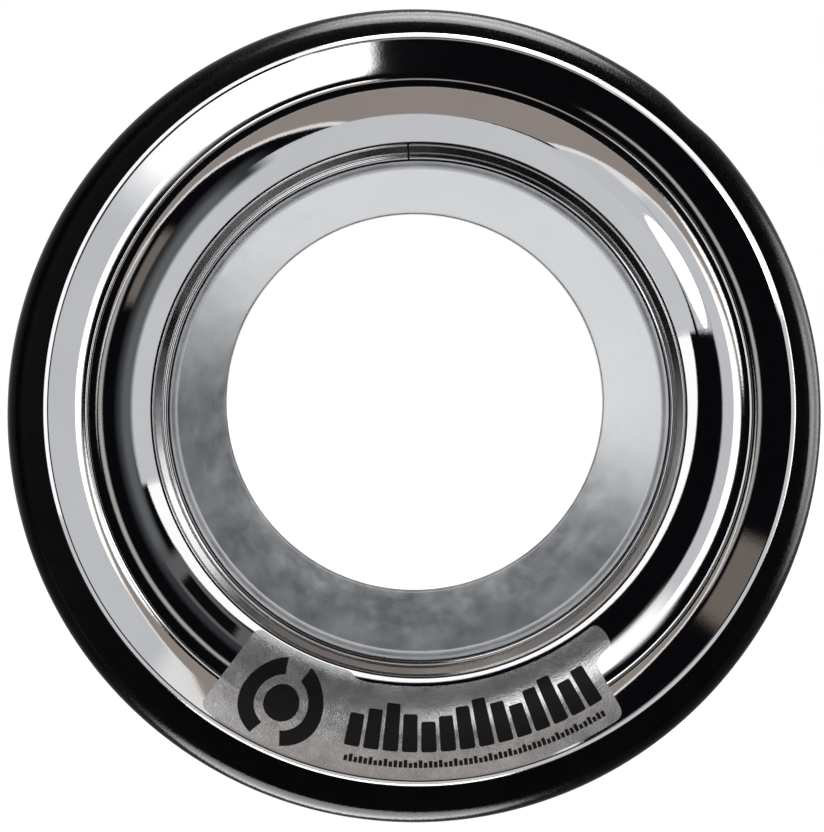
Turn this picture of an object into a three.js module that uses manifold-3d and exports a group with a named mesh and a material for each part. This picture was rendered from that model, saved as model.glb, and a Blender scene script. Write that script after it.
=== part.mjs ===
// Bass-drum port insert: a chromed bell and a short tube that sit in a round hole in the front drumhead.
// Units are millimetres. The bore's axis is Y, the bell faces -Y, and +Z is up.
// The origin is on the axis, in the plane where the collar's flange bears on the drumhead.

import * as THREE from 'three';
import { mergeVertices } from 'three/addons/utils/BufferGeometryUtils.js';
import Module from 'manifold-3d';

const wasm = await Module();
wasm.setup();

// General.
const TURNS = 64;                 // facets around every turned piece
const GAP = 0.3;                  // left between pieces that touch
const HEAD_HOLE_RADIUS = 66.675;  // the 5 1/4 inch hole in the drumhead

// Damping ring: a soft loose ring round the collar's flange, hanging a little below the axis.
const RING_OUTER = 100.8;
const RING_BORE = 86;
const RING_THICKNESS = 12;
const RING_OUTER_EDGE = 4.2;
const RING_INNER_EDGE = 1;
const RING_SHIFT_X = -1.1;
const RING_SHIFT_Z = -1.8;

// Front bell: a bright lip, then a face that passes each [radius, slope] pair in turn, with one arc from
// each pair to the next. Slopes are degrees from the front plane, and positive slopes face the axis.
const LIP_OUTER = [92, -55];
const LIP_INNER = [90.6, -30];
const LIP_OUTER_Y = -13.25;
const BROW_FOOT = [90.3, -9.5];
const BROW_TOP = [84.4, -7];
const COVE_TOP = [78.1, 12];
const THROAT = [66.4, 48];
const BROW_FOOT_Y = -14.385;
const BELL_WALL = 1.6;
const BELL_SEAT_Y = -RING_THICKNESS - GAP;
const BELL_SEAT_RADIUS = 83;
const NOSE_END_Y = -6;

// Throat hoop: a split strip with a thin ridge outside, a groove, and a bead inside. The bead leans
// outwards first, then turns over a small top. Its [radius, slope] pairs are joined by arcs.
const HOOP_OUTER = THROAT[0] - GAP;
const HOOP_INNER = 62.1;
const HOOP_BACK_Y = -6.8;
const HOOP_GROOVE_Y = -7.5;
const HOOP_RIDGE_Y = -8.2;
const HOOP_RIDGE = 0.6;
const HOOP_BEAD_FOOT = [64, -60];
const HOOP_BEAD_SHOULDER = [63, -30];
const HOOP_BEAD_INSIDE = [HOOP_INNER, 60];
const HOOP_SPLIT = 0.5;
const HOOP_SPLIT_ANGLE = -2.5;    // degrees clockwise from the top, seen from the front

// Port tube: a mouth that curves into the bore, a slight taper and a narrow band inside the back end.
const TUBE_MOUTH_EDGE = [61.6, 42];
const TUBE_MOUTH = [59.9, 90];
const TUBE_END_RADIUS = 58.4;
const TUBE_WALL = 1.8;
const TUBE_MOUTH_Y = -8.6;
const TUBE_END_Y = 95;
const TUBE_BAND_DEPTH = 2.4;
const TUBE_BAND_STEP = 0.3;

// Neck collar: a flange in front of the drumhead, the neck, a retaining ridge behind it and a lead-in.
const COLLAR_BORE = 62;
const COLLAR_FRONT_Y = HOOP_BACK_Y + GAP;
const FLANGE_RADIUS = 83.5;
const FLANGE_CHAMFER = 0.8;
const SEAT_INNER = 71.5;          // the seat is clear of the ridge from here outwards
const NECK_RADIUS = HEAD_HOLE_RADIUS - 0.375;
const GROOVE_WIDTH = 1.8;
const RIDGE_RADIUS = 69.8;
const RIDGE_FLAT = 2.2;
const COLLAR_END_RADIUS = 64.4;
const COLLAR_END_Y = 18;

// Badge film: a tall panel on the left and a long band on the right, across the bottom of the bell.
// Angles are degrees from straight down, positive towards +X.
const FILM_LIFT = 0.2;
const FILM_THICKNESS = 0.3;
const FILM_OUTER = 89.8;
const FILM_PANEL_INNER = 66.8;
const FILM_BAND_INNER = 68.2;
const FILM_TAB_OUTER = 74.6;
const FILM_LEFT = -37;
const FILM_PANEL_END = -13;
const FILM_BAND_END = 34;
const FILM_TAB_END = 40;
const FILM_CORNER = 2.5;

const radians = THREE.MathUtils.degToRad;

function finish(colour, roughness, metalness) {
  return new THREE.MeshStandardMaterial({ color: colour, roughness, metalness });
}

function named(name, geometry, material) {
  const mesh = new THREE.Mesh(geometry, material);
  mesh.name = name;
  return mesh;
}

// Points of an arc in a profile, as [radius, y]. The angle is the slope of the surface from the front
// plane: a bulging arc has its centre behind the surface, and a hollow one (negative size) in front.
function slopeArc(centre, size, fromSlope, toSlope, steps) {
  return Array.from({ length: steps + 1 }, (_, i) => {
    const slope = radians(fromSlope + ((toSlope - fromSlope) * i) / steps);
    return [centre[0] - size * Math.sin(slope), centre[1] - size * Math.cos(slope)];
  });
}

// Turns a closed profile of [radius, y] points about the Y axis. A profile is listed along its front
// from the outside in, then along its back from the inside out.
function turned(profile) {
  const points = [...profile, profile[0]].map(([radius, y]) => new THREE.Vector2(radius, y));
  return new THREE.LatheGeometry(points.reverse(), TURNS);
}

function toSolid(geometry) {
  const bare = geometry.clone();
  bare.deleteAttribute('normal');
  bare.deleteAttribute('uv');
  const merged = mergeVertices(bare, 1e-4);
  return new wasm.Manifold(new wasm.Mesh({
    numProp: 3,
    vertProperties: new Float32Array(merged.attributes.position.array),
    triVerts: new Uint32Array(merged.index.array),
  }));
}

function toGeometry(solid) {
  const mesh = solid.getMesh();
  const geometry = new THREE.BufferGeometry();
  geometry.setAttribute('position', new THREE.BufferAttribute(mesh.vertProperties, 3));
  geometry.setIndex(new THREE.BufferAttribute(mesh.triVerts, 1));
  geometry.computeVertexNormals();
  return geometry;
}

// The arc that starts at one radius, slope and y, and ends at another radius and slope.
function arcTo([fromRadius, fromSlope], fromY, [toRadius, toSlope]) {
  const size = (fromRadius - toRadius) / (Math.sin(radians(toSlope)) - Math.sin(radians(fromSlope)));
  const centre = [
    fromRadius + size * Math.sin(radians(fromSlope)),
    fromY + size * Math.cos(radians(fromSlope)),
  ];
  return { centre, size, endY: centre[1] - size * Math.cos(radians(toSlope)) };
}

const lip = arcTo(LIP_OUTER, LIP_OUTER_Y, LIP_INNER);
const brow = arcTo(BROW_FOOT, BROW_FOOT_Y, BROW_TOP);
const crest = arcTo(BROW_TOP, brow.endY, COVE_TOP);
const cove = arcTo(COVE_TOP, crest.endY, THROAT);

// The bell's face from the foot of the lip to the throat.
function bellFace() {
  return [
    ...slopeArc(brow.centre, brow.size, BROW_FOOT[1], BROW_TOP[1], 3),
    ...slopeArc(crest.centre, crest.size, BROW_TOP[1], COVE_TOP[1], 4).slice(1),
    ...slopeArc(cove.centre, cove.size, COVE_TOP[1], THROAT[1], 9).slice(1),
  ];
}

function frontBell() {
  const back = slopeArc(cove.centre, cove.size - BELL_WALL, THROAT[1], COVE_TOP[1], 6);
  const profile = [
    [LIP_OUTER[0], BELL_SEAT_Y],
    ...slopeArc(lip.centre, lip.size, LIP_OUTER[1], LIP_INNER[1], 3),
    ...bellFace(),
    [THROAT[0], NOSE_END_Y],
    [back[0][0], NOSE_END_Y],
    ...back,
    [BELL_SEAT_RADIUS, BELL_SEAT_Y],
  ];
  return named('front_bell', turned(profile), finish(0xd8dadd, 0.06, 1));
}

function throatHoop() {
  const lean = arcTo(HOOP_BEAD_FOOT, HOOP_GROOVE_Y, HOOP_BEAD_SHOULDER);
  const top = arcTo(HOOP_BEAD_SHOULDER, lean.endY, HOOP_BEAD_INSIDE);
  const profile = [
    [HOOP_OUTER, HOOP_BACK_Y],
    [HOOP_OUTER, HOOP_RIDGE_Y],
    [HOOP_OUTER - HOOP_RIDGE, HOOP_RIDGE_Y],
    [HOOP_OUTER - HOOP_RIDGE, HOOP_GROOVE_Y],
    ...slopeArc(lean.centre, lean.size, HOOP_BEAD_FOOT[1], HOOP_BEAD_SHOULDER[1], 3),
    ...slopeArc(top.centre, top.size, HOOP_BEAD_SHOULDER[1], HOOP_BEAD_INSIDE[1], 4).slice(1),
    [HOOP_INNER, HOOP_BACK_Y],
  ];
  const split = new THREE.BoxGeometry(HOOP_SPLIT, 10, 20);
  split.translate(0, HOOP_BACK_Y, (HOOP_OUTER + HOOP_INNER) / 2);
  split.rotateY(radians(HOOP_SPLIT_ANGLE));
  const hoop = toSolid(turned(profile)).subtract(toSolid(split));
  return named('throat_hoop', toGeometry(hoop), finish(0xcfd1d4, 0.1, 1));
}

function portTube() {
  const mouth = arcTo(TUBE_MOUTH_EDGE, TUBE_MOUTH_Y, TUBE_MOUTH);
  const profile = [
    [TUBE_END_RADIUS + TUBE_WALL, TUBE_END_Y],
    [TUBE_MOUTH[0] + TUBE_WALL, TUBE_MOUTH_Y + TUBE_WALL / 2],
    ...slopeArc(mouth.centre, mouth.size, TUBE_MOUTH_EDGE[1], TUBE_MOUTH[1], 6),
    [TUBE_END_RADIUS + TUBE_BAND_STEP, TUBE_END_Y - TUBE_BAND_DEPTH - TUBE_BAND_STEP],
    [TUBE_END_RADIUS, TUBE_END_Y - TUBE_BAND_DEPTH],
    [TUBE_END_RADIUS, TUBE_END_Y],
  ];
  return named('port_tube', turned(profile), finish(0xb9bcc0, 0.4, 1));
}

function neckCollar() {
  const follow = slopeArc(cove.centre, cove.size - BELL_WALL - GAP, COVE_TOP[1], THROAT[1], 6);
  const profile = [
    [COLLAR_BORE, COLLAR_END_Y],
    [COLLAR_END_RADIUS, COLLAR_END_Y],
    [RIDGE_RADIUS, GROOVE_WIDTH + RIDGE_FLAT],
    [RIDGE_RADIUS, GROOVE_WIDTH],
    [NECK_RADIUS, GROOVE_WIDTH],
    [NECK_RADIUS, 0],
    [SEAT_INNER, 0],
    [FLANGE_RADIUS - FLANGE_CHAMFER, 0],
    [FLANGE_RADIUS, -FLANGE_CHAMFER],
    [FLANGE_RADIUS, BELL_SEAT_Y + GAP],
    [BELL_SEAT_RADIUS, BELL_SEAT_Y + GAP],
    ...follow,
    [follow[6][0], NOSE_END_Y + GAP],
    [HOOP_OUTER, NOSE_END_Y + GAP],
    [HOOP_OUTER, COLLAR_FRONT_Y],
    [COLLAR_BORE, COLLAR_FRONT_Y],
  ];
  return named('neck_collar', turned(profile), finish(0x17171a, 0.75, 0));
}

function dampingRing() {
  const outer = RING_OUTER - RING_OUTER_EDGE;
  const inner = RING_BORE + RING_INNER_EDGE;
  const back = [outer, -RING_OUTER_EDGE];
  const front = [outer, -RING_THICKNESS + RING_OUTER_EDGE];
  const profile = [
    ...slopeArc(back, RING_OUTER_EDGE, -180, -90, 4),
    ...slopeArc(front, RING_OUTER_EDGE, -90, 0, 4),
    ...slopeArc([inner, -RING_THICKNESS + RING_INNER_EDGE], RING_INNER_EDGE, 0, 90, 2),
    ...slopeArc([inner, -RING_INNER_EDGE], RING_INNER_EDGE, 90, 180, 2),
  ];
  const ring = named('damping_ring', turned(profile), finish(0x0c0c0d, 0.8, 0));
  ring.position.set(RING_SHIFT_X, 0, RING_SHIFT_Z);
  return ring;
}

// The film's outline in the front plane, with Z drawn as the shape's second axis.
function filmOutline() {
  const at = (radius, degrees) => new THREE.Vector2(
    radius * Math.sin(radians(degrees)),
    -radius * Math.cos(radians(degrees)),
  );
  const sweep = (radius, from, to) => {
    const count = Math.max(1, Math.ceil(Math.abs(to - from) / 4));
    return Array.from({ length: count + 1 }, (_, i) => at(radius, from + ((to - from) * i) / count));
  };
  const inset = 180 * FILM_CORNER / (Math.PI * FILM_OUTER);
  return new THREE.Shape([
    ...sweep(FILM_OUTER, FILM_LEFT + inset, FILM_BAND_END - inset),
    at(FILM_OUTER - FILM_CORNER, FILM_BAND_END),
    at(FILM_TAB_OUTER + FILM_CORNER, FILM_BAND_END),
    at(FILM_TAB_OUTER, FILM_TAB_END - inset),
    at(FILM_TAB_OUTER - FILM_CORNER, FILM_TAB_END),
    at(FILM_BAND_INNER + FILM_CORNER, FILM_TAB_END),
    ...sweep(FILM_BAND_INNER, FILM_TAB_END - inset, FILM_PANEL_END + inset),
    at(FILM_PANEL_INNER, FILM_PANEL_END - inset),
    ...sweep(FILM_PANEL_INNER, FILM_PANEL_END - 2 * inset, FILM_LEFT + inset),
    at(FILM_PANEL_INNER + FILM_CORNER, FILM_LEFT),
    at(FILM_OUTER - FILM_CORNER, FILM_LEFT),
  ]);
}

// The film is cut from a thin skin that lies just in front of the bell's face.
function badgeFilm() {
  const face = bellFace();
  const skin = [
    ...face.map(([radius, y]) => [radius, y - FILM_LIFT - FILM_THICKNESS]),
    ...face.map(([radius, y]) => [radius, y - FILM_LIFT]).reverse(),
  ];
  const cutter = new THREE.ExtrudeGeometry(filmOutline(), { depth: 40, bevelEnabled: false });
  cutter.rotateX(Math.PI / 2);
  cutter.translate(0, 10, 0);
  const film = toSolid(turned(skin)).intersect(toSolid(cutter));
  return named('badge_film', toGeometry(film), finish(0xb4b6b9, 0.35, 0.6));
}

const port = new THREE.Group();
port.add(frontBell());
port.add(throatHoop());
port.add(portTube());
port.add(neckCollar());
port.add(dampingRing());
port.add(badgeFilm());

export default port;
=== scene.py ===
"""Bass-drum port insert: the looks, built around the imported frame.

The bore's axis is Y and the bell faces -Y. Profiles are in millimetres, as [radius, y] points, and are
turned about the Y axis. Angles around the bell are degrees from the top, clockwise seen from the front.
"""

import math

import bmesh
import bpy
from mathutils import Matrix, Vector, noise


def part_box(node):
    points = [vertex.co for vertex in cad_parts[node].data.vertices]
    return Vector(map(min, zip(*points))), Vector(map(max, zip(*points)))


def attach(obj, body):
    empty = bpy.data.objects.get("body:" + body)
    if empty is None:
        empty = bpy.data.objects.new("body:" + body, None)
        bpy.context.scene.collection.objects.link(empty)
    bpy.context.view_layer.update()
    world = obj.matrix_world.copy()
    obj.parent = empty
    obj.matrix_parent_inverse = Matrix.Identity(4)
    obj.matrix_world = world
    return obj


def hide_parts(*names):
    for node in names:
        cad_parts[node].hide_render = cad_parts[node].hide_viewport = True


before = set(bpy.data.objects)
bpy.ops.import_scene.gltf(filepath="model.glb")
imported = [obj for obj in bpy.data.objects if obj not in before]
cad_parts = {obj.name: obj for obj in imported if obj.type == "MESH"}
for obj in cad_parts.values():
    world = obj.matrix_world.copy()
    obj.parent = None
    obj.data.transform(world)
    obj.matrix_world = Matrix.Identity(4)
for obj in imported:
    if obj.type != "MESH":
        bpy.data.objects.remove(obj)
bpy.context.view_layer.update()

MM = 0.001
TURNS = 384
GAP = 0.3

# Bell. The face passes each (radius, slope) pair in turn, with one arc from each pair to the next. Slopes
# are degrees from the front plane, and positive slopes face the axis.
LIP_OUTER = (92.0, -55.0)
LIP_INNER = (90.6, -30.0)
LIP_OUTER_Y = -13.25
BROW_FOOT = (90.3, -9.5)
BROW_TOP = (84.4, -7.0)
COVE_TOP = (78.1, 12.0)
THROAT = (66.4, 48.0)
BROW_FOOT_Y = -14.385
CREASE_RADIUS = 80.7
CREASE_HALF_WIDTH = 0.4
CREASE_HEIGHT = 0.09
BELL_WALL = 1.6
BELL_SEAT_Y = -12.3
BELL_SEAT_RADIUS = 83.0
NOSE_END_Y = -6.0

# Hoop, tube and collar.
HOOP_OUTER = 66.1
HOOP_INNER = 62.1
HOOP_BACK_Y = -6.8
HOOP_GROOVE_Y = -7.5
HOOP_RIDGE_Y = -8.2
HOOP_RIDGE = 0.6
HOOP_BEAD_FOOT = (64.0, -60.0)
HOOP_BEAD_SHOULDER = (63.0, -30.0)
HOOP_BEAD_INSIDE = (62.1, 60.0)
HOOP_SPLIT = 0.5
HOOP_SPLIT_ANGLE = -2.5
TUBE_MOUTH_EDGE = (61.6, 42.0)
TUBE_MOUTH = (59.9, 90.0)
TUBE_END_RADIUS = 58.4
TUBE_WALL = 1.8
TUBE_MOUTH_Y = -8.6
TUBE_END_Y = 95.0
TUBE_BAND_DEPTH = 2.4
TUBE_BAND_STEP = 0.3
TUBE_END_ROUND = 0.3
COLLAR_BORE = 62.0
FLANGE_RADIUS = 83.5
NECK_RADIUS = 66.3
GROOVE_WIDTH = 1.8
RIDGE_RADIUS = 69.8
RIDGE_FLAT = 2.2
COLLAR_END_RADIUS = 64.4
COLLAR_END_Y = 18.0

# Damping ring.
RING_OUTER = 100.8
RING_BORE = 86.0
RING_THICKNESS = 12.0
RING_OUTER_EDGE = 4.2
RING_INNER_EDGE = 1.0
RING_SHOULDER = 13.0
RING_SHIFT = Vector((-1.1, 0.0, -1.8))
DENT_ANGLE = 42.0
DENT_DEPTH = 0.5
DENT_WIDTH = 3.0

# Badge film. Angles here are degrees from straight down, positive towards +X.
FILM_LIFT = 0.10
FILM_THICKNESS = 0.25
INK_THICKNESS = 0.06
FILM_OUTER = 89.6
FILM_PANEL_INNER = 66.8
FILM_BAND_INNER = 68.2
FILM_TAB_OUTER = 74.6
FILM_LEFT = -37.0
FILM_PANEL_END = -13.0
FILM_BAND_END = 34.0
FILM_TAB_END = 40.0
FILM_CORNER = 2.5


# ---------------------------------------------------------------- profiles

def slope_arc(centre, size, from_slope, to_slope, steps):
    """Arc points, by the surface's slope from the front plane. A negative size makes a hollow arc."""
    points = []
    for i in range(steps + 1):
        slope = math.radians(from_slope + (to_slope - from_slope) * i / steps)
        points.append((centre[0] - size * math.sin(slope), centre[1] - size * math.cos(slope)))
    return points


def arc_to(start, start_y, end):
    """Centre, size and end height of the arc from one (radius, slope) pair to another."""
    rise = math.sin(math.radians(end[1])) - math.sin(math.radians(start[1]))
    size = (start[0] - end[0]) / rise
    centre = (
        start[0] + size * math.sin(math.radians(start[1])),
        start_y + size * math.cos(math.radians(start[1])),
    )
    return centre, size, centre[1] - size * math.cos(math.radians(end[1]))


LIP = arc_to(LIP_OUTER, LIP_OUTER_Y, LIP_INNER)
BROW = arc_to(BROW_FOOT, BROW_FOOT_Y, BROW_TOP)
CREST = arc_to(BROW_TOP, BROW[2], COVE_TOP)
COVE = arc_to(COVE_TOP, CREST[2], THROAT)


def creased(point):
    """Lifts a point of the face into the fine raised line that runs round inside the crest."""
    radius, y = point
    share = abs(radius - CREASE_RADIUS) / CREASE_HALF_WIDTH
    if share >= 1:
        return point
    return radius, y - CREASE_HEIGHT * (1 + math.cos(math.pi * share)) / 2


def bell_face():
    """The bell's front from the foot of the lip to the throat."""
    face = [
        *slope_arc(*BROW[:2], BROW_FOOT[1], BROW_TOP[1], 14),
        *slope_arc(*CREST[:2], BROW_TOP[1], COVE_TOP[1], 80)[1:],
        *slope_arc(*COVE[:2], COVE_TOP[1], THROAT[1], 40)[1:],
    ]
    return [creased(point) for point in face]


def bell_profile():
    back = slope_arc(COVE[0], COVE[1] - BELL_WALL, THROAT[1], COVE_TOP[1], 12)
    return [
        (LIP_OUTER[0], BELL_SEAT_Y),
        *slope_arc(*LIP[:2], LIP_OUTER[1], LIP_INNER[1], 14),
        *bell_face(),
        (THROAT[0], NOSE_END_Y),
        (back[0][0], NOSE_END_Y),
        *back,
        (BELL_SEAT_RADIUS, BELL_SEAT_Y),
    ]


def hoop_profile():
    """A ridge with a round top, a flat groove, and a bead that leans outwards, then turns over."""
    ridge_size = HOOP_RIDGE / 2
    lean = arc_to(HOOP_BEAD_FOOT, HOOP_GROOVE_Y, HOOP_BEAD_SHOULDER)
    top = arc_to(HOOP_BEAD_SHOULDER, lean[2], HOOP_BEAD_INSIDE)
    return [
        (HOOP_OUTER, HOOP_BACK_Y),
        *slope_arc((HOOP_OUTER - ridge_size, HOOP_RIDGE_Y + ridge_size), ridge_size, -90, 90, 10),
        (HOOP_OUTER - HOOP_RIDGE, HOOP_GROOVE_Y),
        *slope_arc(*lean[:2], HOOP_BEAD_FOOT[1], HOOP_BEAD_SHOULDER[1], 8),
        *slope_arc(*top[:2], HOOP_BEAD_SHOULDER[1], HOOP_BEAD_INSIDE[1], 12)[1:],
        (HOOP_INNER, HOOP_BACK_Y),
    ]


def tube_profile():
    edge_slope, bore_slope = TUBE_MOUTH_EDGE[1], TUBE_MOUTH[1]
    mouth_arc = arc_to(TUBE_MOUTH_EDGE, TUBE_MOUTH_Y, TUBE_MOUTH)
    mouth = slope_arc(*mouth_arc[:2], edge_slope, bore_slope, 20)
    roll = slope_arc((TUBE_MOUTH_EDGE[0], TUBE_MOUTH_Y + 0.1), 0.1, -90, edge_slope, 6)
    band_y = TUBE_END_Y - TUBE_BAND_DEPTH
    band_foot = (TUBE_END_RADIUS + TUBE_BAND_STEP, band_y - TUBE_BAND_STEP)
    wall = []
    for i in range(1, 12):
        share = i / 12
        wall.append(tuple(a + (b - a) * share for a, b in zip(mouth[-1], band_foot)))
    outer = TUBE_MOUTH[0] + TUBE_WALL
    return [
        (TUBE_END_RADIUS + TUBE_WALL, TUBE_END_Y - TUBE_END_ROUND),
        (outer, TUBE_MOUTH_Y + TUBE_WALL),
        *roll,
        *mouth,
        *wall,
        band_foot,
        (TUBE_END_RADIUS, band_y),
        (TUBE_END_RADIUS, TUBE_END_Y - TUBE_END_ROUND),
        (TUBE_END_RADIUS + TUBE_END_ROUND, TUBE_END_Y),
        (TUBE_END_RADIUS + TUBE_WALL - TUBE_END_ROUND, TUBE_END_Y),
    ]


def rounded(profile, size, steps=4):
    """Rounds every corner of a closed profile that turns by more than 20 degrees."""
    result = []
    count = len(profile)
    for i, point in enumerate(profile):
        here = Vector(point)
        before = Vector(profile[i - 1]) - here
        after = Vector(profile[(i + 1) % count]) - here
        turn = math.pi - before.angle(after)
        if turn < math.radians(20):
            result.append(point)
            continue
        reach = min(size, before.length * 0.45, after.length * 0.45)
        start = here + before.normalized() * reach
        end = here + after.normalized() * reach
        for k in range(steps + 1):
            t = k / steps
            result.append(tuple(start * (1 - t) ** 2 + here * 2 * t * (1 - t) + end * t * t))
    return result


def collar_profile():
    follow = slope_arc(COVE[0], COVE[1] - BELL_WALL - GAP, COVE_TOP[1], THROAT[1], 12)
    return rounded([
        (COLLAR_BORE, COLLAR_END_Y),
        (COLLAR_END_RADIUS, COLLAR_END_Y),
        (RIDGE_RADIUS, GROOVE_WIDTH + RIDGE_FLAT),
        (RIDGE_RADIUS, GROOVE_WIDTH),
        (NECK_RADIUS, GROOVE_WIDTH),
        (NECK_RADIUS, 0),
        (FLANGE_RADIUS, 0),
        (FLANGE_RADIUS, BELL_SEAT_Y + GAP),
        (BELL_SEAT_RADIUS, BELL_SEAT_Y + GAP),
        *follow,
        (follow[-1][0], NOSE_END_Y + GAP),
        (HOOP_OUTER, NOSE_END_Y + GAP),
        (HOOP_OUTER, HOOP_BACK_Y + GAP),
        (COLLAR_BORE, HOOP_BACK_Y + GAP),
    ], 0.6)


def ring_profile():
    outer = RING_OUTER - RING_OUTER_EDGE
    inner = RING_BORE + RING_INNER_EDGE
    front_y = -RING_THICKNESS
    flat = [(outer - (outer - inner) * i / 8, front_y) for i in range(1, 8)]
    lean = math.radians(RING_SHOULDER)
    size = RING_OUTER_EDGE / (1 - math.sin(lean))
    shoulder = (RING_OUTER - size, front_y + size * math.cos(lean))
    return [
        *slope_arc((outer, -RING_OUTER_EDGE), RING_OUTER_EDGE, -180, -90, 14),
        *slope_arc(shoulder, size, -90, -RING_SHOULDER, 18),
        *flat,
        *slope_arc((inner, front_y + RING_INNER_EDGE), RING_INNER_EDGE, 0, 90, 5),
        *slope_arc((inner, -RING_INNER_EDGE), RING_INNER_EDGE, 90, 180, 5),
    ]


# ------------------------------------------------------------------ meshes

def add_object(name, mesh):
    obj = bpy.data.objects.new(name, mesh)
    bpy.context.scene.collection.objects.link(obj)
    return obj


def smooth(mesh, sharp_degrees=32):
    mesh.shade_smooth()
    mesh.set_sharp_from_angle(angle=math.radians(sharp_degrees))


def turned(name, profile, gap_degrees=0.0, gap_at=0.0, warp=None):
    """A closed profile turned about Y. A gap leaves a slit with flat ends, at an angle from the top."""
    bm = bmesh.new()
    closed = gap_degrees == 0
    columns = TURNS if closed else TURNS + 1
    rings = []
    for i in range(columns):
        degrees = gap_at + gap_degrees / 2 + (360 - gap_degrees) * i / TURNS
        angle = math.radians(degrees)
        ring = []
        for radius, y in profile:
            if warp:
                radius, y = warp(radius, y, degrees)
            point = Vector((radius * math.sin(angle), y, radius * math.cos(angle)))
            ring.append(bm.verts.new(point * MM))
        rings.append(ring)
    count = len(profile)
    for i in range(columns if closed else columns - 1):
        here, there = rings[i], rings[(i + 1) % columns]
        for k in range(count):
            bm.faces.new((here[k], there[k], there[(k + 1) % count], here[(k + 1) % count]))
    if not closed:
        bm.faces.new(rings[0])
        bm.faces.new(reversed(rings[-1]))
    bmesh.ops.recalc_face_normals(bm, faces=bm.faces)
    mesh = bpy.data.meshes.new(name)
    bm.to_mesh(mesh)
    bm.free()
    smooth(mesh)
    return add_object(name, mesh)


FACE = bell_face()


def on_face(radius, degrees, lift):
    """A point that lies lift millimetres proud of the bell's face, with degrees from straight down."""
    for (r0, y0), (r1, y1) in zip(FACE, FACE[1:]):
        if r0 >= radius >= r1 and r0 > r1:
            break
    share = (r0 - radius) / (r0 - r1)
    y = y0 + (y1 - y0) * share
    normal = Vector((y0 - y1, r1 - r0)).normalized()
    radius += normal.x * lift
    y += normal.y * lift
    angle = math.radians(degrees)
    return Vector((radius * math.sin(angle), y, -radius * math.cos(angle))) * MM


def decal(name, outlines, lift, thickness, fineness=(0.7, 0.35)):
    """A thin sheet over the bell's face. Each outline is a loop of (degrees, radius) points."""
    bm = bmesh.new()
    for outline in outlines:
        bm.faces.new([bm.verts.new((degrees, radius, 0)) for degrees, radius in outline])
    for axis, step in zip(((1, 0, 0), (0, 1, 0)), fineness):
        values = [v.co.x * axis[0] + v.co.y * axis[1] for v in bm.verts]
        cut = math.ceil(min(values) / step) * step
        while cut < max(values):
            bmesh.ops.bisect_plane(
                bm, geom=[*bm.verts, *bm.edges, *bm.faces], dist=1e-5,
                plane_co=(cut * axis[0], cut * axis[1], 0), plane_no=axis)
            cut += step
    flat = [(v, v.co.copy()) for v in bm.verts]
    top = {v: on_face(co.y, co.x, lift + thickness) for v, co in flat}
    low = {v: bm.verts.new(on_face(co.y, co.x, lift)) for v, co in flat}
    for face in list(bm.faces):
        bm.faces.new([low[v] for v in reversed(face.verts)])
    for edge in [e for e in bm.edges if e.is_boundary and e.verts[0] in low and e.verts[1] in low]:
        a, b = edge.verts
        bm.faces.new((a, b, low[b], low[a]))
    for v, point in top.items():
        v.co = point
    bmesh.ops.recalc_face_normals(bm, faces=bm.faces)
    mesh = bpy.data.meshes.new(name)
    bm.to_mesh(mesh)
    bm.free()
    smooth(mesh, 40)
    return add_object(name, mesh)


def rounded_loop(corners, size, steps=5):
    """Rounds a loop of (degrees, radius) corners, with one degree counted as 1.4 mm of arc."""
    stretch = 1.4
    flat = [(degrees * stretch, radius) for degrees, radius in corners]
    return [(x / stretch, y) for x, y in rounded(flat, size, steps)]


# --------------------------------------------------------------- materials

class Nodes:
    """A small helper around one node tree."""

    def __init__(self, tree):
        self.tree = tree
        tree.nodes.clear()

    def add(self, kind, inputs=None, **settings):
        node = self.tree.nodes.new(kind)
        for key, value in settings.items():
            setattr(node, key, value)
        for key, value in (inputs or {}).items():
            if isinstance(value, bpy.types.NodeSocket):
                self.tree.links.new(value, node.inputs[key])
            else:
                node.inputs[key].default_value = value
        return node

    def math(self, operation, a, b=0.0, c=0.0):
        node = self.add("ShaderNodeMath", {0: a, 1: b, 2: c}, operation=operation)
        return node.outputs[0]

    def noise(self, vector, scale, detail=2.0, rough=0.5):
        node = self.add("ShaderNodeTexNoise", {"Vector": vector, "Scale": scale, "Detail": detail,
                                               "Roughness": rough})
        return node.outputs["Fac"]

    def ramp(self, value, low, high, from_min=0.0, from_max=1.0, kind="LINEAR"):
        node = self.add("ShaderNodeMapRange", {"Value": value, "From Min": from_min, "From Max": from_max,
                                               "To Min": low, "To Max": high}, interpolation_type=kind)
        return node.outputs[0]

    def mix(self, factor, a, b):
        node = self.add("ShaderNodeMix", {"Factor": factor}, data_type="RGBA")
        for socket, value in (("A", a), ("B", b)):
            target = [s for s in node.inputs if s.name == socket and s.type == "RGBA"][0]
            if isinstance(value, bpy.types.NodeSocket):
                self.tree.links.new(value, target)
            else:
                target.default_value = value
        return [s for s in node.outputs if s.type == "RGBA"][0]

    def bump(self, height, strength, distance, normal=None):
        inputs = {"Height": height, "Strength": strength, "Distance": distance}
        if normal is not None:
            inputs["Normal"] = normal
        return self.add("ShaderNodeBump", inputs).outputs["Normal"]


def new_material(name):
    material = bpy.data.materials.new(name)
    material.use_nodes = True
    nodes = Nodes(material.node_tree)
    output = nodes.add("ShaderNodeOutputMaterial")
    shader = nodes.add("ShaderNodeBsdfPrincipled")
    nodes.tree.links.new(shader.outputs[0], output.inputs[0])
    where = nodes.add("ShaderNodeTexCoord").outputs["Object"]
    return material, nodes, shader, where


def link(nodes, output, shader, name):
    nodes.tree.links.new(output, shader.inputs[name])


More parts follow.
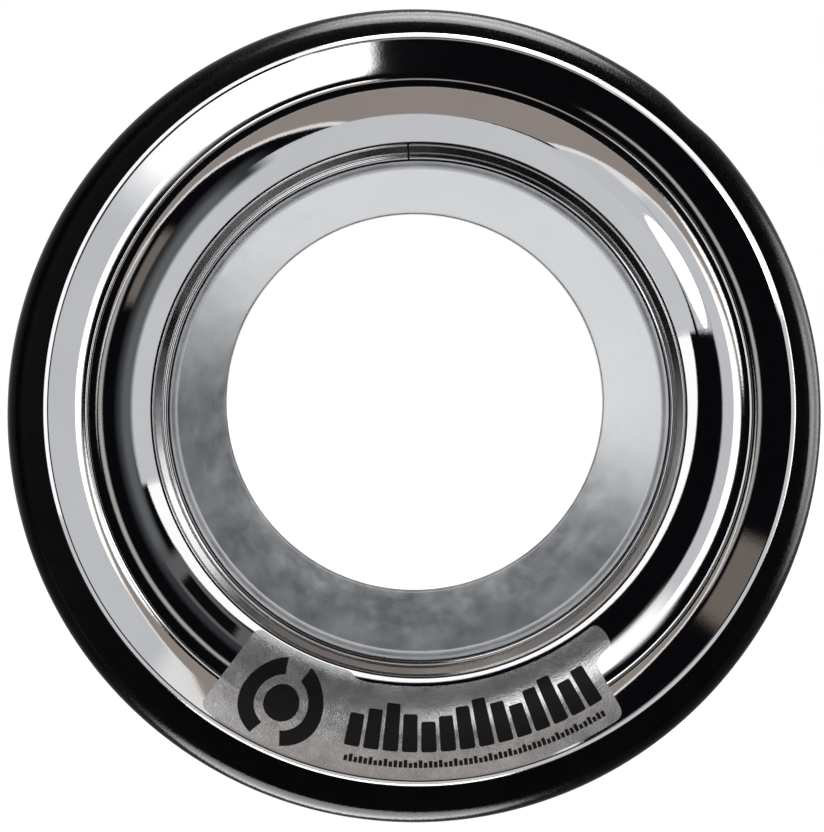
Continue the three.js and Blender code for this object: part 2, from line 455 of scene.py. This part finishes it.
def chrome(name, tone, roughness, wave, dimples):
    """Plated metal: slow waves from the moulding under the plate, fine pits and a faint haze."""
    material, nodes, shader, where = new_material(name)
    shader.inputs["Metallic"].default_value = 1.0
    haze = nodes.noise(where, 55, 4)
    clean, hazy = (*[tone] * 3, 1), (tone * 0.95, tone * 0.95, tone * 0.96, 1)
    link(nodes, nodes.mix(nodes.ramp(haze, 0, 1, 0.35, 0.7), clean, hazy), shader, "Base Color")
    link(nodes, nodes.ramp(haze, roughness, roughness * 2.2, 0.3, 0.8), shader, "Roughness")
    slow = nodes.bump(nodes.noise(where, 28, 1), 1.0, wave)
    pits = nodes.bump(nodes.noise(where, 1400, 3, 0.6), dimples, 0.00004, slow)
    link(nodes, pits, shader, "Normal")
    return material


def satin(name):
    """Cloudy satin metal: soft blotches and faint runs along the tube."""
    material, nodes, shader, where = new_material(name)
    shader.inputs["Metallic"].default_value = 1.0
    drawn = nodes.add("ShaderNodeMapping", {"Vector": where, "Scale": (1.0, 0.2, 1.0)}).outputs[0]
    blotch = nodes.noise(drawn, 95, 6, 0.62)
    runs = nodes.noise(drawn, 260, 4, 0.6)
    cloud = nodes.math("ADD", nodes.math("MULTIPLY", blotch, 0.7), nodes.math("MULTIPLY", runs, 0.3))
    colour = nodes.mix(nodes.ramp(cloud, 0, 1, 0.36, 0.64), (0.56, 0.57, 0.59, 1), (0.78, 0.79, 0.80, 1))
    link(nodes, colour, shader, "Base Color")
    link(nodes, nodes.ramp(cloud, 0.26, 0.40, 0.36, 0.64), shader, "Roughness")
    grain = nodes.bump(nodes.noise(where, 2600, 2), 0.25, 0.00003)
    link(nodes, nodes.bump(nodes.noise(drawn, 95, 1), 0.4, 0.0006, grain), shader, "Normal")
    return material


def rubber(name, tone, roughness, specular, grain):
    """Soft black rubber: a fine grain, and dust that lies in patches."""
    material, nodes, shader, where = new_material(name)
    shader.inputs["Specular IOR Level"].default_value = specular
    fine = nodes.noise(where, 2300, 3, 0.6)
    dust = nodes.noise(where, 90, 4, 0.6)
    colour = nodes.mix(nodes.ramp(dust, 0, 1, 0.4, 0.75), (*[tone] * 3, 1), (*[tone * 1.8] * 3, 1))
    link(nodes, colour, shader, "Base Color")
    link(nodes, nodes.ramp(fine, roughness - 0.08, roughness + 0.1, 0.3, 0.7), shader, "Roughness")
    link(nodes, nodes.bump(fine, grain, 0.00012), shader, "Normal")
    return material


def frosted_film(name):
    """Silver film with a frosted face: fine sparkle, and patches where it is slightly duller."""
    material, nodes, shader, where = new_material(name)
    shader.inputs["Metallic"].default_value = 0.85
    speck = nodes.noise(where, 2400, 2, 0.7)
    patch = nodes.noise(where, 120, 4, 0.6)
    tone = nodes.math("ADD", nodes.math("MULTIPLY", patch, 0.5), nodes.math("MULTIPLY", speck, 0.5))
    colour = nodes.mix(nodes.ramp(tone, 0, 1, 0.35, 0.65), (0.44, 0.45, 0.46, 1), (0.80, 0.80, 0.81, 1))
    link(nodes, colour, shader, "Base Color")
    link(nodes, nodes.ramp(patch, 0.14, 0.24, 0.3, 0.7), shader, "Roughness")
    link(nodes, nodes.bump(speck, 0.8, 0.00006), shader, "Normal")
    return material


def ink(name):
    """Black print with a slight tooth."""
    material, nodes, shader, where = new_material(name)
    shader.inputs["Specular IOR Level"].default_value = 0.2
    grain = nodes.noise(where, 900, 3)
    colour = nodes.mix(grain, (0.002, 0.002, 0.003, 1), (0.006, 0.006, 0.007, 1))
    link(nodes, colour, shader, "Base Color")
    link(nodes, nodes.ramp(grain, 0.35, 0.5), shader, "Roughness")
    link(nodes, nodes.bump(grain, 0.1, 0.00003), shader, "Normal")
    return material


# ------------------------------------------------------------------ pieces

def fit(obj, material, body, slot, *replaced):
    """Gives a piece its material and body, and hides the CAD nodes that it replaces. The slot argument is
    not used.
    """
    obj.data.materials.append(material)
    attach(obj, body)
    if replaced:
        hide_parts(*replaced)
    return obj


def dented(radius, y, degrees):
    """One small dent in the ring's outer edge, and a slow wobble in its outline."""
    share = max(0.0, (radius - RING_BORE) / (RING_OUTER - RING_BORE)) ** 3
    away = (degrees - DENT_ANGLE) / DENT_WIDTH
    dent = DENT_DEPTH * math.exp(-away * away)
    angle = math.radians(degrees)
    wobble = 0.12 * noise.noise(Vector((math.cos(angle), math.sin(angle), 4)) * 2)
    return radius - share * (dent + wobble), y


def make_ring():
    ring = turned("ring_soft", ring_profile(), warp=dented)
    ring.data.transform(Matrix.Translation(RING_SHIFT * MM))
    return fit(ring, rubber("ring_rubber", 0.001, 0.20, 0.04, 0.2), "ring", "ring_rubber", "damping_ring")


def make_film():
    loop = rounded_loop([
        (FILM_LEFT, FILM_OUTER), (FILM_BAND_END, FILM_OUTER), (FILM_BAND_END + 1, FILM_TAB_OUTER),
        (FILM_TAB_END, FILM_TAB_OUTER - 1), (FILM_TAB_END, FILM_BAND_INNER),
        (FILM_PANEL_END, FILM_BAND_INNER), (FILM_PANEL_END - 2, FILM_PANEL_INNER),
        (FILM_LEFT, FILM_PANEL_INNER),
    ], FILM_CORNER)
    film = decal("badge_sheet", [loop], FILM_LIFT, FILM_THICKNESS)
    return fit(film, frosted_film("frosted_film"), "port", "frosted_film", "badge_film")


def emblem_loops():
    """Broken rings round a disc: a plain sign for a port in a drumhead."""
    centre, middle = -25.5, 78.6
    per_degree = 1.37  # millimetres of arc to a degree, at the middle
    disc, ring_inner, ring_outer = 4.4, 6.6, 10.4
    loops = []

    def point(angle, size):
        across = size * math.sin(math.radians(angle)) / per_degree
        return centre + across, middle + size * math.cos(math.radians(angle))

    def band(inner, outer, start, end):
        steps = 28
        angles = [start + (end - start) * i / steps for i in range(steps + 1)]
        loops.append([point(a, outer) for a in angles] + [point(a, inner) for a in reversed(angles)])

    band(ring_inner, ring_outer, 20, 160)
    band(ring_inner, ring_outer, 200, 340)
    loops.append([point(a, disc) for a in range(0, 360, 15)])
    return loops


def bar_loops():
    """A row of level bars that stand on one line."""
    heights = (0.70, 0.85, 1.0, 0.8, 0.65, 0.75, 0.9, 1.0, 0.85, 0.7, 0.9, 1.0, 0.75, 0.85)
    first, pitch, width = -13.0, 3.3, 2.65
    foot, tall = 83.0, 11.0
    loops = []
    for i, height in enumerate(heights):
        left = first + i * pitch
        top = foot - tall * height
        corners = [(left, foot), (left + width, foot), (left + width, top), (left, top)]
        loops.append(rounded_loop(corners, 0.5, 2))
    return loops


def tick_loops():
    """A fine row of ticks under the bars."""
    loops = []
    foot, pitch, width = 86.9, 0.82, 0.58
    for i in range(54):
        left = -12.5 + i * pitch
        top = foot - (1.4, 1.9, 1.3, 1.7, 1.5, 1.9, 1.2)[i % 7]
        loops.append([(left, foot), (left + width, foot), (left + width, top), (left, top)])
    return loops


def make_print():
    black = ink("ink_black")
    lift = FILM_LIFT + FILM_THICKNESS + 0.01
    prints = {"print_emblem": emblem_loops(), "print_bars": bar_loops(), "print_ticks": tick_loops()}
    for name, loops in prints.items():
        fit(decal(name, loops, lift, INK_THICKNESS), black, "port", "frosted_film")


def make_pieces():
    bright = chrome("bell_chrome", 0.86, 0.025, 0.00022, 0.06)
    fit(turned("bell_plated", bell_profile()), bright, "port", "bell_chrome", "front_bell")
    trim = chrome("trim_chrome", 0.80, 0.07, 0.0001, 0.04)
    split = math.degrees(HOOP_SPLIT / HOOP_OUTER)
    hoop = turned("hoop_strip", hoop_profile(), gap_degrees=split, gap_at=HOOP_SPLIT_ANGLE)
    fit(hoop, trim, "port", "trim_chrome", "throat_hoop")
    fit(turned("tube_satin", tube_profile()), satin("satin_metal"), "port", "satin_metal", "port_tube")
    black = rubber("collar_rubber", 0.014, 0.55, 0.4, 0.35)
    fit(turned("collar_moulded", collar_profile()), black, "port", "collar_rubber", "neck_collar")
    make_ring_lights(make_ring())
    make_film()
    make_print()


# ------------------------------------------------------------------- stage

# What the bell reflects: panels of the studio around it. "Turn" is the angle round the axis from the top,
# clockwise from the front, and "away" is the angle from the direction in which the bell faces. Each panel
# has its turns, its aways, how much further away its near edge lies at its two ends, the softness of its
# edges, all in degrees, and its brightness in red, green and blue. Later panels cover earlier ones.
PANELS = {
    "lower_half": ((77, 252), (46, 150), 12, 1, (0.61, 0.62, 0.64)),
    "upper_half": ((252, 437), (79, 150), -13, 2, (1.15, 1.15, 1.15)),
    "right_box_dim": ((37, 148), (37, 57), 0, 8, (0.035, 0.038, 0.040)),
    "right_box": ((62, 140), (44, 57), 0, 10, (0.12, 0.127, 0.13)),
    "right_frame": ((37, 62), (46, 71), 0, 3, (0.12, 0.12, 0.125)),
    "right_opening": ((42, 57), (50, 66), 0, 2, (0.004, 0.004, 0.004)),
    "right_edge": ((36, 125), (14, 19), 2, 3, (0.42, 0.40, 0.385)),
    "right_tan": ((113, 127), (25, 36), 0, 4, (0.165, 0.14, 0.125)),
    "left_panel": ((212, 324), (12, 35), 0, 3, (0.58, 0.59, 0.61)),
    "left_low": ((205, 252), (35, 54), 0, 2, (0.58, 0.59, 0.61)),
    "panel_edge": ((218, 324), (12, 20), 6, 2, (2.2, 2.2, 2.2)),
    "panel_end": ((211, 222), (22, 35), 0, 5, (0.85, 0.85, 0.85)),
    "window_glow": ((308, 326), (12, 34), 0, 14, (1.3, 1.3, 1.3)),
    "window": ((322, 354), (12, 36), 0, 4, (2.0, 2.0, 2.0)),
}
# Round lamps: turn, away, angular radius and brightness.
LAMP_SOFTNESS = 1.5
LAMPS = {
    "round_lamp": (239, 43.5, 8.2, 3.0),
    "camera_lamp": (236, 9.0, 2.4, 1.6),
}
# The tan table below the studio. It spreads as it comes nearer, so its half width in turn times the angle
# away stays the same, and a pale line runs along both its sides.
TABLE_TURN = 184
TABLE_NEAR = 11
TABLE_FAR = 46
TABLE_SPREAD = 870
TABLE_TONE = (0.30, 0.26, 0.235)
TABLE_EDGE = 1.14
TABLE_EDGE_TONE = (0.85, 0.83, 0.81)
STUDIO_DARK = (0.003, 0.003, 0.004)
# Behind the part, as the tube shows it: bright around one turn, and dim opposite.
BACK_AWAY = (138, 150)
BACK_TURN = 202
BACK_EDGE = (68, 102)
BACK_BRIGHT = (1.0, 1.0, 1.0)
BACK_DIM = (0.118, 0.123, 0.129)
BACKDROP = (1.0, 1.0, 1.0)
ROOM_LIGHT = (1.3, 1.3, 1.3)


class Studio:
    """Masks for the directions around the bell, in degrees of turn and away."""

    def __init__(self, nodes):
        self.nodes = nodes
        direction = nodes.add("ShaderNodeTexCoord").outputs["Generated"]
        self.parts = nodes.add("ShaderNodeSeparateXYZ", {0: direction}).outputs
        self.away = self.angle(nodes.math("MULTIPLY", self.parts[1], -1))
        squared = nodes.math("POWER", self.parts[1], 2)
        self.across = nodes.math("SQRT", nodes.math("SUBTRACT", 1.0001, squared))

    def angle(self, cosine):
        return self.nodes.math("MULTIPLY", self.nodes.math("ARCCOSINE", cosine), 180 / math.pi)

    def apart(self, turn):
        """How far a direction lies from one turn, from 0 to 180."""
        nodes = self.nodes
        sideways = nodes.math("MULTIPLY", self.parts[0], math.sin(math.radians(turn)))
        upright = math.cos(math.radians(turn))
        along = nodes.math("MULTIPLY_ADD", self.parts[2], upright, sideways)
        return self.angle(nodes.math("DIVIDE", along, self.across))

    def below(self, value, limit, soft):
        """1 where the value is below the limit, with a soft edge."""
        return self.nodes.ramp(value, 1, 0, limit - soft / 2, limit + soft / 2, "SMOOTHSTEP")

    def both(self, a, b):
        return self.nodes.math("MULTIPLY", a, b)

    def panel(self, turns, aways, sag, soft):
        """A curved panel between two turns and two aways."""
        half = (turns[1] - turns[0]) / 2
        apart = self.apart((turns[0] + turns[1]) / 2)
        near = self.away
        if sag:
            share = self.nodes.math("POWER", self.nodes.math("DIVIDE", apart, half), 2)
            near = self.nodes.math("SUBTRACT", near, self.nodes.math("MULTIPLY", share, sag))
        past_near = self.nodes.math("SUBTRACT", 1, self.below(near, aways[0], soft))
        inside = self.both(self.below(apart, half, soft), self.below(self.away, aways[1], soft))
        return self.both(inside, past_near)

    def lamp(self, turn, away, size):
        """A round lamp, by the direction of its centre and its angular radius."""
        tilt, turned_by = math.radians(away), math.radians(turn)
        axis = (math.sin(tilt) * math.sin(turned_by), -math.cos(tilt), math.sin(tilt) * math.cos(turned_by))
        dot = self.nodes.math("MULTIPLY", self.parts[0], axis[0])
        for part, share in zip(self.parts[1:], axis[1:]):
            dot = self.nodes.math("MULTIPLY_ADD", part, share, dot)
        return self.below(self.angle(dot), size, LAMP_SOFTNESS)

    def table(self, spread):
        """The table, whose half width in turn is the spread over the angle away."""
        share = self.nodes.math("MULTIPLY", self.apart(TABLE_TURN), self.away)
        past_near = self.nodes.math("SUBTRACT", 1, self.below(self.away, TABLE_NEAR, 2))
        inside = self.both(self.below(share, spread, 40), self.below(self.away, TABLE_FAR, 1))
        return self.both(inside, past_near)

    def behind_dim(self):
        """The dim part of what lies behind."""
        return self.nodes.ramp(self.apart(BACK_TURN), 0, 1, *BACK_EDGE, "SMOOTHSTEP")

    def behind(self):
        """Everything behind the part."""
        return self.nodes.ramp(self.away, 0, 1, *BACK_AWAY, "SMOOTHSTEP")


def studio_world():
    world = bpy.data.worlds.new("studio")
    world.use_nodes = True
    bpy.context.scene.world = world
    nodes = Nodes(world.node_tree)
    output = nodes.add("ShaderNodeOutputWorld")
    studio = Studio(nodes)
    colour = (*STUDIO_DARK, 1)
    for turns, aways, sag, soft, tone in PANELS.values():
        colour = nodes.mix(studio.panel(turns, aways, sag, soft), colour, (*tone, 1))
    colour = nodes.mix(studio.table(TABLE_SPREAD * TABLE_EDGE), colour, (*TABLE_EDGE_TONE, 1))
    colour = nodes.mix(studio.table(TABLE_SPREAD), colour, (*TABLE_TONE, 1))
    for turn, away, size, tone in LAMPS.values():
        colour = nodes.mix(studio.lamp(turn, away, size), colour, (*[tone] * 3, 1))
    back = nodes.mix(studio.behind_dim(), (*BACK_BRIGHT, 1), (*BACK_DIM, 1))
    colour = nodes.mix(studio.behind(), colour, back)
    rays = nodes.add("ShaderNodeLightPath").outputs
    colour = nodes.mix(rays["Is Diffuse Ray"], colour, (*ROOM_LIGHT, 1))
    colour = nodes.mix(rays["Is Camera Ray"], colour, (*BACKDROP, 1))
    background = nodes.add("ShaderNodeBackground", {"Color": colour, "Strength": 1.0})
    nodes.tree.links.new(background.outputs[0], output.inputs[0])


# Softboxes that give the damping ring its edge highlights: name, place in metres, size in metres, watts.
RING_LIGHTS = [
    ("ring_light_high_front", (0.05, -0.34, 0.62), 0.50, 48.0),
    ("ring_light_high", (0.10, -0.08, 0.70), 0.60, 45.0),
    ("ring_light_right_front", (0.62, -0.34, 0.0), 0.36, 18.0),
    ("ring_light_right", (0.70, -0.08, 0.03), 0.70, 28.0),
    ("ring_light_low", (-0.14, -0.14, -0.70), 0.70, 70.0),
]


def make_ring_lights(ring):
    receivers = bpy.data.collections.new("ring_only")
    receivers.objects.link(ring)
    for name, place, size, power in RING_LIGHTS:
        light = bpy.data.lights.new(name, "AREA")
        light.shape = "DISK"
        light.size = size
        light.energy = power
        lamp = add_object(name, light)
        lamp.location = place
        lamp.rotation_mode = "QUATERNION"
        lamp.rotation_quaternion = (-Vector(place)).to_track_quat("-Z", "Y")
        lamp.visible_diffuse = False
        lamp.light_linking.receiver_collection = receivers


# The floor lies this far below the part, in metres.
FLOOR_DROP = 0.06
FLOOR_SIZE = 24


def make_floor(low):
    material, nodes, shader, where = new_material("floor_pale")
    speckle = nodes.noise(where, 6, 3)
    link(nodes, nodes.mix(speckle, (0.90, 0.90, 0.90, 1), (0.94, 0.94, 0.94, 1)), shader, "Base Color")
    shader.inputs["Roughness"].default_value = 0.9
    bpy.ops.mesh.primitive_plane_add(size=FLOOR_SIZE, location=(0, 0, low))
    floor = bpy.context.object
    floor.name = "floor"
    floor.data.materials.append(material)
    floor.visible_glossy = False


# Camera, in metres: its place and its aim across (X) and up (Z), and how far it stands in front of the bell.
CAMERA_PLACE = (-0.0062, 0.0104)
CAMERA_AIM = (-0.00197, -0.00089)
CAMERA_AWAY = 0.390
CAMERA_LENS = 70.2


def make_camera():
    """In front of the bell, a little above the axis and to its left, aimed just left of it and below."""
    crest_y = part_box("front_bell")[0].y
    camera = bpy.data.objects.new("camera", bpy.data.cameras.new("camera"))
    bpy.context.scene.collection.objects.link(camera)
    camera.location = (CAMERA_PLACE[0], crest_y - CAMERA_AWAY, CAMERA_PLACE[1])
    aim = Vector((CAMERA_AIM[0], crest_y, CAMERA_AIM[1]))
    camera.rotation_mode = "QUATERNION"
    camera.rotation_quaternion = (aim - camera.location).to_track_quat("-Z", "Y")
    camera.data.sensor_fit = "HORIZONTAL"
    camera.data.sensor_width = 36.0
    camera.data.lens = CAMERA_LENS
    camera.data.clip_start = 0.01
    bpy.context.scene.camera = camera


def make_stage():
    studio_world()
    make_floor(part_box("damping_ring")[0].z - FLOOR_DROP)
    make_camera()
    view = bpy.context.scene.view_settings
    view.view_transform = "Standard"
    view.look = "None"


make_pieces()
make_stage()
